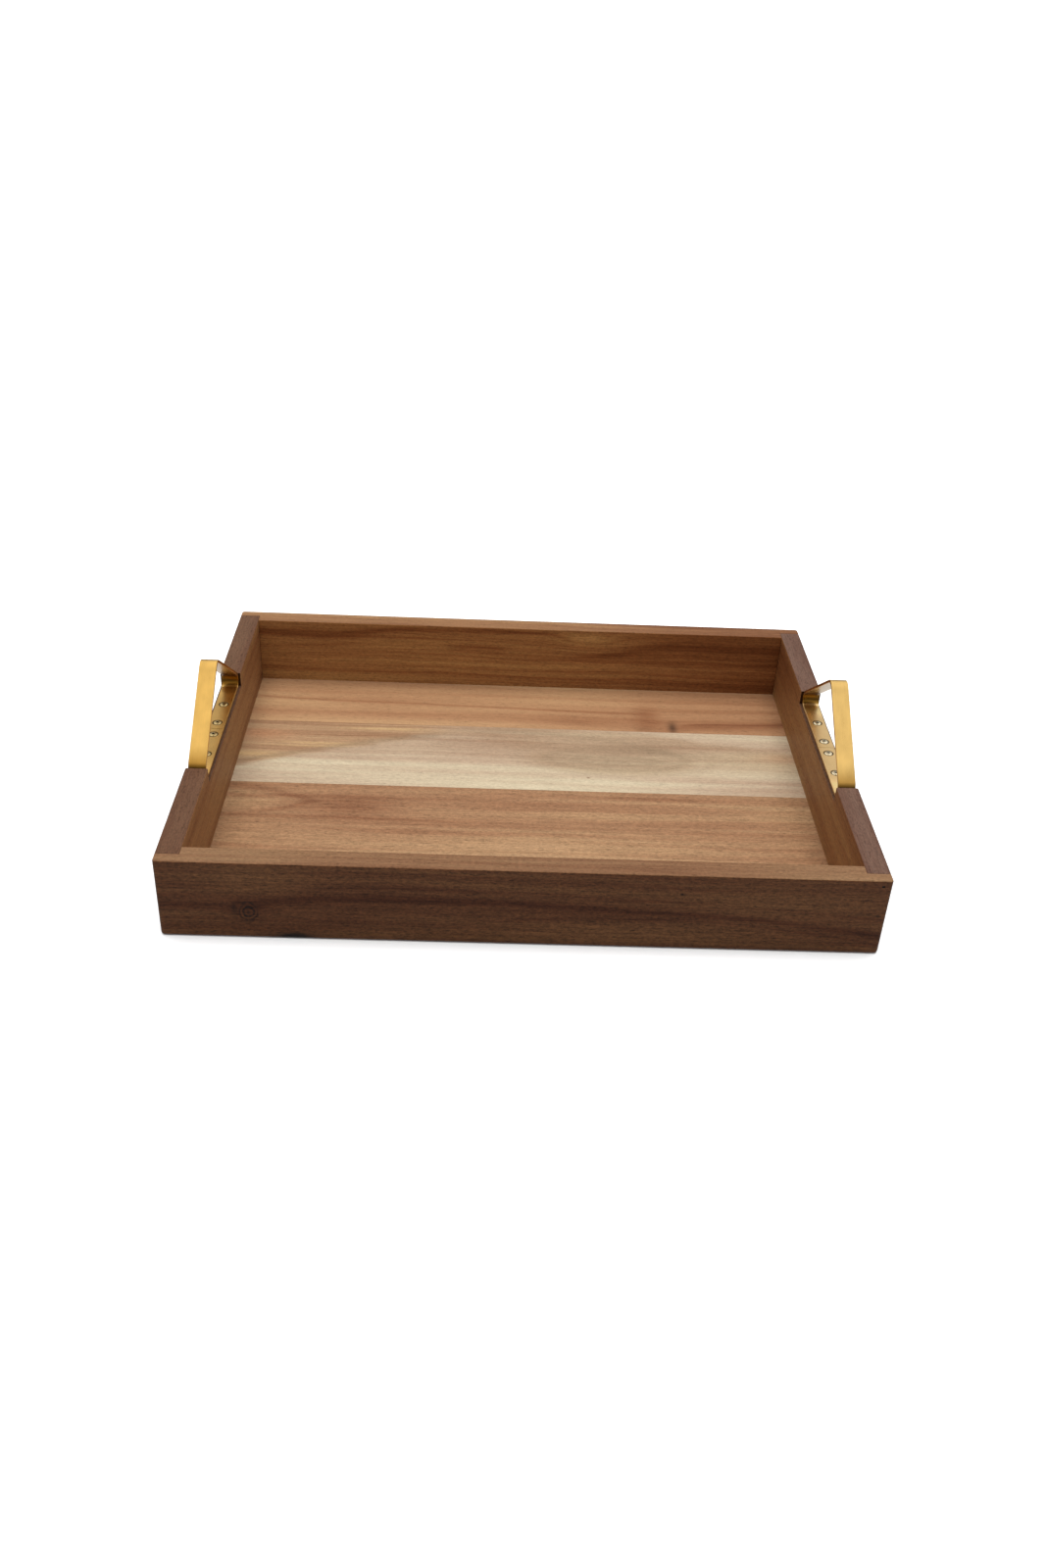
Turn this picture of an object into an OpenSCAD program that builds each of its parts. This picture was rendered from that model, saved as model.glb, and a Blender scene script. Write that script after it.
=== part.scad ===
// Rectangular serving tray: a rabbeted wooden frame round a floor of edge-glued planks,
// with a flat brass strap, bent into a triangle, screwed into a notch in each end board.
// The origin is at the middle of the tray, on the surface that the tray stands on.
// X runs along the tray from handle to handle, Y from front to back, and Z is up.

/* [Frame] */
// Outside length, from end to end
tray_l = 406.4; // [330:0.1:600]
// Outside width, from front to back
tray_w = 304.8; // [240:0.1:450]
// Height of the frame
tray_h = 52; // [45:0.5:80]
// Thickness of the four boards
board_t = 13.8; // [12:0.1:20]
// Radius on the frame's upright outer corners
corner_r = 2; // [1:0.1:4]
// Radius on the frame's long outer edges
edge_r = 0.8; // [0.3:0.1:1.5]

/* [Floor] */
// Thickness of the floor planks
floor_t = 4.2; // [3:0.1:8]
// Height of the planks' underside above the frame's foot
floor_lift = 0.3; // [0.1:0.1:1]
// Width of the two middle planks
plank_w = 78.5; // [60:0.5:100]

/* [Notch for the handle] */
// Depth of the notch below the rim
notch_depth = 9.5; // [9:0.5:14]
// Half the length of the notch's flat bottom
notch_half = 59.3; // [59.3:0.1:75]
// Radius that rounds over the notch's shoulders
shoulder_r = 1.5; // [1:0.5:4]

/* [Handle strap] */
// Width of the strap
strap_w = 10.7; // [8:0.1:12]
// Thickness of the strap
strap_t = 1.8; // [1.2:0.1:2.5]
// Height of the triangle, outside
strap_rise = 50.5; // [40:0.5:70]
// Half the length of the triangle's base, outside
strap_half = 59; // [50:0.5:59]
// Outer radius of the bend at the top
apex_r = 7.5; // [5:0.5:10]
// Outer radius of the two bends at the base
base_r = 6.5; // [5:0.5:8]
// Gap where the strap's two ends meet, at the middle of the base
seam_gap = 0.4; // [0.1:0.1:1]

/* [Handle screws] */
// Distance from the handle's middle to the inner pair of screws
inner_screw_y = 7.2; // [5:0.1:12]
// Distance from the handle's middle to the outer pair of screws
outer_screw_y = 30.6; // [20:0.1:45]
// Diameter of a screw's head
head_d = 5.4; // [4.5:0.1:6]
// Height of the domed top of a head
dome_h = 0.8; // [0.3:0.1:1.2]
// Diameter of a screw's thread
thread_d = 2.9; // [2.4:0.1:3.2]
// Length of a screw under its dome
screw_l = 16; // [12:0.5:18]
// Diameter of the countersink in the strap
sink_d = 6; // [5.5:0.1:6.5]

/* [Corner brads] */
// Diameter of a brad
brad_d = 1.2; // [1:0.1:1.6]
// Length of a brad
brad_l = 25; // [20:1:30]
// Distance from the end of the tray to the brads
brad_inset = 5.4; // [4.5:0.1:6]
// Height of the lowest brad
brad_low = 7; // [6:0.5:10]
// Height of the highest brad
brad_high = 48; // [40:0.5:75]

/* [Hidden] */
$fn = 64;
eps = 0.5;                                   // how far a cutter passes a face
lip = board_t / 2;                           // outer half of a board, which its rabbets leave
inner_x = tray_l / 2 - board_t;              // inner faces of the end boards
inner_y = tray_w / 2 - board_t;              // inner faces of the long boards
rebate_h = floor_lift + floor_t;             // height of the rebate for the floor
panel_x = tray_l / 2 - lip;                  // half length of the floor
panel_y = tray_w / 2 - lip;                  // half width of the floor
plank_edges = [panel_y, plank_w, 0, -plank_w, -panel_y];
notch_z = tray_h - notch_depth;              // bottom of the notch
strap_x = tray_l / 2 - board_t / 2;          // middle of the strap's width
strap_top = notch_z + strap_t;               // upper face of the strap's base
screw_ys = [-outer_screw_y, -inner_screw_y, inner_screw_y, outer_screw_y];
hole_d = thread_d + 0.3;                     // holes that the screws pass through
thread_pitch = 1.1;
thread_depth = 0.35;
thread_turns = 10;
tip_l = 2.5;                                 // tapered point of a screw
recess_w = 0.9;                              // slots of the cross recess
recess_l = 3;
recess_depth = 1.3;
brad_zs = [brad_low, (brad_low + brad_high) / 2, brad_high];
brad_head_d = 1.8;
brad_head_h = 0.8;
brad_set = 0.3;                              // depth of a brad's head below the wood
brad_play = 0.1;                             // added to a brad's diameter for its hole

board_wood = [0.42, 0.27, 0.19];
end_wood = [0.47, 0.33, 0.27];
tan_wood = [0.72, 0.49, 0.35];
sapwood = [0.83, 0.70, 0.54];
brass = [0.87, 0.68, 0.33];
screw_brass = [0.80, 0.70, 0.47];
steel = [0.35, 0.33, 0.31];

// ---------- outlines ----------

// A rectangle centred on the origin, with its four corners rounded.
module rounded_rect(w, h, r) {
    square([w - 2 * r, h], center = true);
    square([w, h - 2 * r], center = true);
    for (x = [-1, 1], y = [-1, 1])
        translate([x * (w / 2 - r), y * (h / 2 - r)]) circle(r);
}

// Turns an outline drawn in Y and Z into a solid along X, centred on X = 0.
module along_x(length) {
    rotate([90, 0, 90]) linear_extrude(length, center = true) children();
}

// Turns an outline drawn in X and Z into a solid along Y, centred on Y = 0.
module along_y(length) {
    rotate([90, 0, 0]) linear_extrude(length, center = true) children();
}

// The sanded outside of the whole frame, which every board is cut to.
module frame_envelope() {
    intersection() {
        linear_extrude(tray_h) rounded_rect(tray_l, tray_w, corner_r);
        translate([0, 0, tray_h / 2]) along_x(tray_l) rounded_rect(tray_w, tray_h, edge_r);
        translate([0, 0, tray_h / 2]) along_y(tray_w) rounded_rect(tray_l, tray_h, edge_r);
    }
}

// A box from one corner to the opposite one.
module block(low, high) {
    translate(low) cube(high - low);
}

// ---------- boards ----------

// The front board, with a rabbet at each end, the floor's rebate and the brads' holes.
module long_board() {
    difference() {
        intersection() {
            frame_envelope();
            block([-tray_l / 2, -tray_w / 2, 0], [tray_l / 2, -inner_y, tray_h]);
        }
        for (side = [-1, 1])
            translate([side * (inner_x + board_t), 0, 0])
                block([-board_t, -panel_y, -eps], [board_t, -inner_y + eps, tray_h + eps]);
        block([-inner_x - eps, -panel_y, -eps], [inner_x + eps, -inner_y + eps, rebate_h]);
        for (side = [-1, 1], z = brad_zs) brad_hole(side, z);
    }
}

// The outline of an end board's face, with the notch in its upper edge.
module end_board_outline() {
    difference() {
        translate([-panel_y, 0]) square([2 * panel_y, tray_h]);
        translate([-notch_half, notch_z]) square([2 * notch_half, notch_depth + eps]);
        for (side = [-1, 1])
            translate([side * (notch_half + shoulder_r), tray_h - shoulder_r])
                difference() {
                    translate([side < 0 ? 0 : -shoulder_r - eps, 0])
                        square([shoulder_r + eps, shoulder_r + eps]);
                    circle(shoulder_r);
                }
    }
}

// The right end board, with the floor's rebate, the screws' pilot holes and the brads' holes.
module end_board() {
    difference() {
        intersection() {
            frame_envelope();
            translate([inner_x + board_t / 2, 0, 0]) along_x(board_t) end_board_outline();
        }
        block([inner_x - eps, -panel_y - eps, -eps], [panel_x, panel_y + eps, rebate_h]);
        for (y = screw_ys)
            translate([strap_x, y, strap_top - screw_l - 1]) cylinder(d = hole_d, h = screw_l + 1);
        for (end = [0, 1], z = brad_zs) mirror([0, end, 0]) brad_hole(1, z);
    }
}

// One floor plank, numbered from the back.
module floor_plank(number) {
    block([-panel_x, plank_edges[number + 1], floor_lift], [panel_x, plank_edges[number], rebate_h]);
}

// ---------- handles ----------

base_bend = [strap_half - base_r, base_r];                   // centre of the right base bend
apex_bend = [0, strap_rise - apex_r];                        // centre of the top bend
between_bends = base_bend - apex_bend;
slope = atan2(-between_bends.y, between_bends.x) + asin((apex_r - base_r) / norm(between_bends));
side_turn = 90 - slope;                                      // direction that the right side faces
arc_step = 5;                                                // angle between the points of a bend

// Points along an arc round a centre, from one direction to another.
function arc(centre, r, from, to) =
    let (steps = ceil((to - from) / arc_step))
    [for (i = [0 : steps]) let (turn = from + (to - from) * i / steps) centre + r * [cos(turn), sin(turn)]];

// The line round the loop at a depth inside the strap's outer face, from the seam and back to it.
function loop_line(depth) = concat(
    [[seam_gap / 2, depth]],
    arc(base_bend, base_r - depth, -90, side_turn),
    arc(apex_bend, apex_r - depth, side_turn, 180 - side_turn),
    arc([-base_bend.x, base_bend.y], base_r - depth, 180 - side_turn, 270),
    [[-seam_gap / 2, depth]]
);

function reversed(points) = [for (i = [len(points) - 1 : -1 : 0]) points[i]];

// The right handle's strap: the bent loop, open at its seam, with four countersunk holes.
module handle_strap() {
    translate([strap_x, 0, notch_z])
        difference() {
            along_x(strap_w) polygon(concat(loop_line(0), reversed(loop_line(strap_t))));
            for (y = screw_ys) translate([0, y, 0]) countersunk_hole();
        }
}

// A hole through the strap's base, with a 90 degree countersink from above.
module countersunk_hole() {
    sink_h = (sink_d - hole_d) / 2;
    translate([0, 0, -eps]) cylinder(d = hole_d, h = strap_t + 2 * eps);
    translate([0, 0, strap_t - sink_h]) cylinder(d1 = hole_d, d2 = sink_d, h = sink_h);
    translate([0, 0, strap_t]) cylinder(d = sink_d, h = eps);
}

// The half outline of a screw's head cone, thread and point, from the head's edge down.
function screw_profile() =
    let (
        crest = thread_d / 2,
        root = crest - thread_depth,
        neck_z = (thread_d - head_d) / 2,
        thread_z = neck_z - (screw_l - tip_l + neck_z - thread_turns * thread_pitch)
    )
    concat(
        [[0, 0], [head_d / 2, 0], [crest, neck_z]],
        [for (turn = [0 : thread_turns - 1], step = [0, 1])
            [step == 0 ? crest : root, thread_z - (turn + step / 2) * thread_pitch]],
        [[root, tip_l - screw_l], [0, -screw_l]]
    );

// The right handle's screw at one place, with a domed head and a cross recess.
module handle_screw(y) {
    seat = (sink_d - head_d) / 2;                            // depth of the head's edge
    dome_r = (pow(head_d / 2, 2) + pow(dome_h, 2)) / (2 * dome_h);
    translate([strap_x, y, strap_top - seat])
        difference() {
            union() {
                rotate_extrude() polygon(screw_profile());
                intersection() {
                    translate([0, 0, dome_h - dome_r]) sphere(dome_r);
                    cylinder(d = head_d, h = dome_h);
                }
            }
            for (turn = [45, 135])
                rotate(turn)
                    translate([-recess_l / 2, -recess_w / 2, dome_h - recess_depth])
                        cube([recess_l, recess_w, recess_depth + eps]);
        }
}

// ---------- brads ----------

// The hole for one brad in the front of the frame, at the left (-1) or the right (1).
module brad_hole(side, z) {
    translate([side * (tray_l / 2 - brad_inset), -tray_w / 2 - eps, z])
        rotate([-90, 0, 0]) {
            cylinder(d = brad_head_d + brad_play, h = eps + brad_set + brad_head_h);
            cylinder(d = brad_d + brad_play, h = eps + brad_set + brad_l);
        }
}

// The three brads of one front corner.
module corner_brads(side) {
    for (z = brad_zs)
        translate([side * (tray_l / 2 - brad_inset), -tray_w / 2 + brad_set, z])
            rotate([-90, 0, 0]) {
                cylinder(d = brad_head_d, h = brad_head_h);
                cylinder(d = brad_d, h = brad_l);
            }
}

// ---------- sub-parts ----------

module front_board() { color(board_wood) long_board(); }
module back_board() { color(board_wood) mirror([0, 1, 0]) long_board(); }
module left_end_board() { color(end_wood) mirror([1, 0, 0]) end_board(); }
module right_end_board() { color(end_wood) end_board(); }
module floor_plank_back() { color(tan_wood) floor_plank(0); }
module floor_plank_middle_back() { color(sapwood) floor_plank(1); }
module floor_plank_middle_front() { color(tan_wood) floor_plank(2); }
module floor_plank_front() { color(tan_wood) floor_plank(3); }
module left_handle_strap() { color(brass) mirror([1, 0, 0]) handle_strap(); }
module right_handle_strap() { color(brass) handle_strap(); }
module left_handle_screw(number) { color(screw_brass) mirror([1, 0, 0]) handle_screw(screw_ys[number]); }
module right_handle_screw(number) { color(screw_brass) handle_screw(screw_ys[number]); }
module front_left_brads() { color(steel) corner_brads(-1); }
module front_right_brads() { color(steel) corner_brads(1); }
module back_left_brads() { color(steel) mirror([0, 1, 0]) corner_brads(-1); }
module back_right_brads() { color(steel) mirror([0, 1, 0]) corner_brads(1); }

front_board();
back_board();
left_end_board();
right_end_board();
floor_plank_back();
floor_plank_middle_back();
floor_plank_middle_front();
floor_plank_front();
left_handle_strap();
right_handle_strap();
for (number = [0 : 3]) {
    left_handle_screw(number);
    right_handle_screw(number);
}
front_left_brads();
front_right_brads();
back_left_brads();
back_right_brads();
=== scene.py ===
"""Looks of a wooden tray with two brass strap handles. Lengths are in metres, unless a comment says mm."""

import math

import bmesh
import bpy
from mathutils import Matrix, Vector


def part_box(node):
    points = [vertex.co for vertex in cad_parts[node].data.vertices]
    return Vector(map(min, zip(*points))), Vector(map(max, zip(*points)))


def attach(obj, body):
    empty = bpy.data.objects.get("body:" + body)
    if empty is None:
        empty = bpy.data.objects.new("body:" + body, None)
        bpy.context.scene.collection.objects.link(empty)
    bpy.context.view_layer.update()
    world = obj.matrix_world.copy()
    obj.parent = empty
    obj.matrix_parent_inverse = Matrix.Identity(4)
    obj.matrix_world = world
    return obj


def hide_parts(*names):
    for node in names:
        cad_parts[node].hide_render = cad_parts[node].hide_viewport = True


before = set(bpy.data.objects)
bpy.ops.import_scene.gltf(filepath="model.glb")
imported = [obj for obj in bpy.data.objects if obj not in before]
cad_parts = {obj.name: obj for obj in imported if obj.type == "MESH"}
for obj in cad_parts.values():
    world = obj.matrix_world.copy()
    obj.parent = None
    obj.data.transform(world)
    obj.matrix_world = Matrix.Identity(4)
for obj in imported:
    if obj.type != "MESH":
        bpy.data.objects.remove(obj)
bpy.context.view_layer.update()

MM = 0.001
NEAR = 0.01 * MM             # two places this close are the same
PAST = 1 * MM                # how far a cutter passes a face

# ---------- sizes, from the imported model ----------

FRAME_LOW, FRAME_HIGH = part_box("front_board")
END_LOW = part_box("right_end_board")[0]
PLANK_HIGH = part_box("floor_plank_back")[1]
STRAP_LOW, STRAP_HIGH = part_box("right_handle_strap")
OUTER_X, OUTER_Y, RIM_Z = FRAME_HIGH.x, -FRAME_LOW.y, FRAME_HIGH.z
INNER_X, INNER_Y = END_LOW.x, -FRAME_HIGH.y
PANEL_X, PANEL_Y, REBATE_Z = PLANK_HIGH.x, PLANK_HIGH.y, PLANK_HIGH.z
NOTCH_Z = STRAP_LOW.z
STRAP_X = (STRAP_LOW.x + STRAP_HIGH.x) / 2

# ---------- sizes of the fine shape ----------

EDGE_R = 0.9 * MM            # sanded arrises of the frame's rim
CORNER_R = 2 * MM            # upright corners of the frame, and its bottom arrises
INNER_R = 0.5 * MM           # arris along the inside of the rim
SHOULDER_R = 1.5 * MM        # shoulders of the notches
NOTCH_HALF = 59.3 * MM
JOINT_GAP = 0.1 * MM         # glue line between two boards
JOINT_EASE = 0.15 * MM       # arris left on a glued edge
PLANK_EASE = 0.12 * MM
LEAST_TURN = 0.5             # radians: edges that turn less stay as they are
SHARP_TURN = math.radians(35)

STRAP_T = 1.8 * MM
STRAP_HALF = STRAP_HIGH.y
STRAP_RISE = STRAP_HIGH.z - STRAP_LOW.z
APEX_R = 7.5 * MM
BASE_R = 6.5 * MM
STRAP_EASE = 0.3 * MM        # radius of the strap's long arrises
END_EASE = 0.25 * MM         # arris of the strap's ends at the seam
SEAM_GAP = 0.4 * MM
BEND_STEP = math.radians(3)

SCREW_YS = (-30.6 * MM, -7.2 * MM, 7.2 * MM, 30.6 * MM)
HEAD_R = 2.7 * MM
DOME_H = 0.8 * MM
DOME_POWER = 5.0             # higher is flatter on top
SINK_R = 3 * MM
BORE_R = 1.6 * MM
THREAD_R = 1.45 * MM
THREAD_PITCH = 1.1 * MM
THREAD_DEPTH = 0.35 * MM
THREAD_TURNS = 10
TIP_L = 2.5 * MM             # tapered point of a screw
SCREW_L = 16 * MM
HEAD_EDGE = 0.12 * MM        # rounding of the head's rim
HEAD_DROP = 0.3 * MM         # from the strap's upper face down to the edge of a head
RECESS_TURNS = {"left": (20, 75, 38, 5), "right": (47, 8, 63, 30)}   # degrees, one for each screw
RECESS_MOUTH = (DOME_H + 0.4 * MM, 1.25 * MM, 0.4 * MM)   # height, half length and half width of an arm
RECESS_FLOOR = (-0.45 * MM, 0.55 * MM, 0.24 * MM)

BRAD_INSET = 5.4 * MM
BRAD_ZS = (7 * MM, 27.5 * MM, 48 * MM)
BRAD_R = 0.6 * MM
BRAD_HEAD_R = 0.9 * MM
BRAD_HEAD_H = 0.8 * MM
BRAD_SET = 0.3 * MM
BRAD_L = 25 * MM
BRAD_PLAY = 0.05 * MM


# ---------- making meshes ----------

def new_piece(name, mesh_maker):
    """Makes an object whose mesh is filled by a function that is given a bmesh."""
    bm = bmesh.new()
    mesh_maker(bm)
    bmesh.ops.recalc_face_normals(bm, faces=bm.faces[:])
    mesh = bpy.data.meshes.new(name)
    bm.to_mesh(mesh)
    bm.free()
    piece = bpy.data.objects.new(name, mesh)
    bpy.context.scene.collection.objects.link(piece)
    return piece


def fill_cells(bm, xs, ys, zs, is_solid):
    """Adds the outside of those boxes of a grid that is_solid keeps, as few large faces."""
    counts = (len(xs) - 1, len(ys) - 1, len(zs) - 1)
    corners = {}

    def corner(i, j, k):
        if (i, j, k) not in corners:
            corners[i, j, k] = bm.verts.new((xs[i], ys[j], zs[k]))
        return corners[i, j, k]

    def filled(cell):
        return all(0 <= c < n for c, n in zip(cell, counts)) and is_solid(*cell)

    square = ((0, 0), (1, 0), (1, 1), (0, 1))
    for cell in ((i, j, k) for i in range(counts[0]) for j in range(counts[1]) for k in range(counts[2])):
        if not filled(cell):
            continue
        for axis in range(3):
            for side in (0, 1):
                neighbour = list(cell)
                neighbour[axis] += 2 * side - 1
                if filled(neighbour):
                    continue
                face = []
                for a, b in square:
                    at = list(cell)
                    at[axis] += side
                    at[(axis + 1) % 3] += a
                    at[(axis + 2) % 3] += b
                    face.append(corner(*at))
                bm.faces.new(face)
    bmesh.ops.dissolve_limit(bm, angle_limit=0.01, verts=bm.verts[:], edges=bm.edges[:])
    bmesh.ops.recalc_face_normals(bm, faces=bm.faces[:])


def ease_edges(bm, radius, segments, wanted):
    """Rounds the edges for which wanted(low corner, high corner) is true."""
    chosen = []
    for edge in bm.edges:
        ends = [v.co for v in edge.verts]
        low = Vector(map(min, *ends))
        high = Vector(map(max, *ends))
        is_arris = edge.is_manifold and edge.is_convex and edge.calc_face_angle() > LEAST_TURN
        if is_arris and wanted(low, high):
            chosen.append(edge)
    bmesh.ops.bevel(bm, geom=chosen, offset=radius, offset_type="OFFSET", segments=segments,
                    profile=0.5, affect="EDGES", clamp_overlap=True)


def turn_profile(bm, profile, place, segments):
    """Adds a solid turned round Z from (radius, height) pairs, then moved by a matrix."""
    rings = []
    for radius, height in profile:
        if radius == 0:
            rings.append([bm.verts.new(place @ Vector((0, 0, height)))] * segments)
        else:
            turns = [2 * math.pi * s / segments for s in range(segments)]
            rings.append([bm.verts.new(place @ Vector((radius * math.cos(t), radius * math.sin(t), height)))
                          for t in turns])
    join_rings(bm, rings)


def join_rings(bm, rings):
    """Adds the faces between closed rings of vertices, where a ring may be one repeated vertex."""
    for below, above in zip(rings, rings[1:]):
        for s in range(len(below)):
            t = (s + 1) % len(below)
            corners = list(dict.fromkeys((below[s], below[t], above[t], above[s])))
            if len(corners) > 2:
                bm.faces.new(corners)


def cut_out(piece, *cutters):
    """Takes the cutters' solids out of a piece, and removes the cutters."""
    for cutter in cutters:
        modifier = piece.modifiers.new("cut", "BOOLEAN")
        modifier.operation = "DIFFERENCE"
        modifier.solver = "EXACT"
        modifier.object = cutter
    apply_modifiers(piece)
    for cutter in cutters:
        bpy.data.objects.remove(cutter)


def apply_modifiers(piece):
    depsgraph = bpy.context.evaluated_depsgraph_get()
    mesh = bpy.data.meshes.new_from_object(piece.evaluated_get(depsgraph))
    piece.modifiers.clear()
    piece.data = mesh


def finish_piece(piece, material, node):
    """Shades a piece, gives it its material, and puts it in the place of its CAD node."""
    piece.data.polygons.foreach_set("use_smooth", [True] * len(piece.data.polygons))
    piece.data.set_sharp_from_angle(angle=SHARP_TURN)
    normals = piece.modifiers.new("normals", "WEIGHTED_NORMAL")
    normals.keep_sharp = True
    apply_modifiers(piece)
    piece.data.materials.clear()
    piece.data.materials.append(material)
    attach(piece, "root")
    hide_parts(node)


# ---------- wooden pieces ----------

def brad_profile(play=0.0, rise=0.0):
    """Half outline of a brad along +Z, from head to point. A hole has play all round, and may rise."""
    return [
        (0, -rise),
        (BRAD_HEAD_R + play, -rise),
        (BRAD_HEAD_R + play, BRAD_HEAD_H + play),
        (BRAD_R + play, BRAD_HEAD_H + play),
        (BRAD_R + play, BRAD_L - 2 * BRAD_R),
        (0, BRAD_L + play),
    ]


def brad_places(side_x, side_y):
    """Where the three brads of a corner stand: their heads in the long board, pointing inwards."""
    inwards = Matrix.Rotation(math.radians(90 * side_y), 4, "X")
    x = side_x * (OUTER_X - BRAD_INSET)
    y = side_y * (OUTER_Y - BRAD_SET)
    return [Matrix.Translation((x, y, z)) @ inwards for z in BRAD_ZS]


def brad_holes(corners):
    """The holes of whole corners. Filler hides the brads, save the top one at the front right."""
    def make(bm):
        for side_x, side_y in corners:
            for number, place in enumerate(brad_places(side_x, side_y)):
                is_open = (side_x, side_y, number) == (1, -1, len(BRAD_ZS) - 1)
                rise = 2 * BRAD_SET if is_open else BRAD_PLAY
                turn_profile(bm, brad_profile(BRAD_PLAY, rise), place, segments=20)

    return new_piece("brad_holes", make)


def long_board(name, side):
    """The front (-1) or back (1) board, with its rabbets, its rebate and its brad holes."""
    def make(bm):
        xs = (-OUTER_X, -INNER_X, INNER_X, OUTER_X)
        ys = (side * OUTER_Y, side * PANEL_Y, side * INNER_Y)
        zs = (0, REBATE_Z, RIM_Z)
        fill_cells(bm, xs, ys, zs, lambda i, j, k: j == 0 or (i == 1 and k == 1))

        def upright_corner(low, high):
            outside = abs(low.x) > OUTER_X - NEAR and abs(low.y) > OUTER_Y - NEAR
            return outside and high.z - low.z > NEAR

        def outline(z, low, high):
            level = high.z - low.z < NEAR and abs(low.z - z) < NEAR
            along = min(abs(low.y), abs(high.y)) > OUTER_Y - CORNER_R - NEAR
            across = min(abs(low.x), abs(high.x)) > OUTER_X - CORNER_R - NEAR
            return level and (along or across)

        def inner_rim(low, high):
            return low.z > RIM_Z - NEAR and high.x - low.x > INNER_X

        def rabbet(low, high):
            return high.x - low.x < 20 * MM and (high - low).length > 5 * MM

        ease_edges(bm, CORNER_R, 6, lambda low, high: upright_corner(low, high) or outline(0, low, high))
        ease_edges(bm, EDGE_R, 4, lambda low, high: outline(RIM_Z, low, high))
        ease_edges(bm, INNER_R, 3, inner_rim)
        ease_edges(bm, JOINT_EASE, 1, rabbet)

    board = new_piece(name, make)
    cut_out(board, brad_holes([(-1, side), (1, side)]))
    return board


def end_board(name, side):
    """The left (-1) or right (1) board, with its notch, its rebate and the holes for screws and brads."""
    def make(bm):
        xs = (side * (INNER_X + JOINT_GAP), side * PANEL_X, side * OUTER_X)
        end_y = PANEL_Y - JOINT_GAP
        ys = (-end_y, -NOTCH_HALF, NOTCH_HALF, end_y)
        zs = (0, REBATE_Z, NOTCH_Z, RIM_Z)
        fill_cells(bm, xs, ys, zs, lambda i, j, k: not (i == 0 and k == 0) and not (j == 1 and k == 2))

        def shoulder(low, high):
            across = high.x - low.x > 10 * MM
            return across and low.z > RIM_Z - NEAR and abs(low.y) < NOTCH_HALF + NEAR

        def along_rim(x, low, high):
            on_face = abs(abs(low.x) - x) < NEAR and abs(abs(high.x) - x) < NEAR
            in_notch = max(abs(low.y), abs(high.y)) < NOTCH_HALF + SHOULDER_R + NEAR
            lowest = NOTCH_Z if in_notch else RIM_Z - SHOULDER_R
            return on_face and low.z > lowest - NEAR

        def foot(low, high):
            return high.z < NEAR and min(abs(low.x), abs(high.x)) > OUTER_X - NEAR

        def joint(low, high):
            return min(abs(low.y), abs(high.y)) > end_y - NEAR

        ease_edges(bm, SHOULDER_R, 6, shoulder)
        ease_edges(bm, EDGE_R, 4, lambda low, high: along_rim(OUTER_X, low, high))
        ease_edges(bm, CORNER_R, 6, foot)
        ease_edges(bm, INNER_R, 3, lambda low, high: along_rim(INNER_X + JOINT_GAP, low, high))
        ease_edges(bm, JOINT_EASE, 1, joint)

    def pilot_holes(bm):
        bottom = NOTCH_Z + STRAP_T - SCREW_L - PAST
        top = NOTCH_Z + PAST
        for y in SCREW_YS:
            place = Matrix.Translation((side * STRAP_X, y, 0))
            turn_profile(bm, [(0, bottom), (BORE_R, bottom), (BORE_R, top), (0, top)], place, segments=24)

    board = new_piece(name, make)
    cut_out(board, brad_holes([(side, -1), (side, 1)]), new_piece("pilot_holes", pilot_holes))
    return board


def floor_plank(name, node):
    """One plank of the floor, with its arrises just broken."""
    low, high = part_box(node)

    def make(bm):
        fill_cells(bm, (low.x, high.x), (low.y, high.y), (low.z, high.z), lambda i, j, k: True)
        ease_edges(bm, PLANK_EASE, 2, lambda low, high: True)

    return new_piece(name, make)


def corner_brads(name, side_x, side_y):
    def make(bm):
        for place in brad_places(side_x, side_y):
            turn_profile(bm, brad_profile(), place, segments=20)

    return new_piece(name, make)


# ---------- brass pieces ----------

def strap_stations():
    """Points and outward directions round the strap's outer face, from one side of the seam to the other."""
    base = Vector((STRAP_HALF - BASE_R, BASE_R))
    apex = Vector((0, STRAP_RISE - APEX_R))
    between = base - apex
    slope = math.atan2(-between.y, between.x) + math.asin((APEX_R - BASE_R) / between.length)
    side = math.pi / 2 - slope
    stations = [(Vector((y, 0)), -math.pi / 2) for y in (SEAM_GAP / 2, SEAM_GAP / 2 + STRAP_EASE)]
    bends = (
        (base, BASE_R, -math.pi / 2, side),
        (apex, APEX_R, side, math.pi - side),
        (Vector((-base.x, base.y)), BASE_R, math.pi - side, 1.5 * math.pi),
    )
    for centre, radius, start, end in bends:
        steps = math.ceil((end - start) / BEND_STEP)
        for i in range(steps + 1):
            turn = start + (end - start) * i / steps
            stations.append((centre + radius * Vector((math.cos(turn), math.sin(turn))), turn))
    stations += [(Vector((-at.x, at.y)), 1.5 * math.pi) for at, turn in stations[1::-1]]
    return stations


def strap_section(inset):
    """Place across the strap and depth below its outer face, for the points round its rounded section."""
    reach = (STRAP_HIGH.x - STRAP_LOW.x) / 2 - STRAP_EASE
    far, shallow = STRAP_T - STRAP_EASE, STRAP_EASE
    radius = STRAP_EASE - inset
    steps = 4
    points = []
    corners = ((reach, far), (-reach, far), (-reach, shallow), (reach, shallow))
    for number, (across, depth) in enumerate(corners):
        for step in range(steps + 1):
            turn = math.pi / 2 * (number + step / steps)
            points.append((across + radius * math.cos(turn), depth + radius * math.sin(turn)))
    return points


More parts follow.
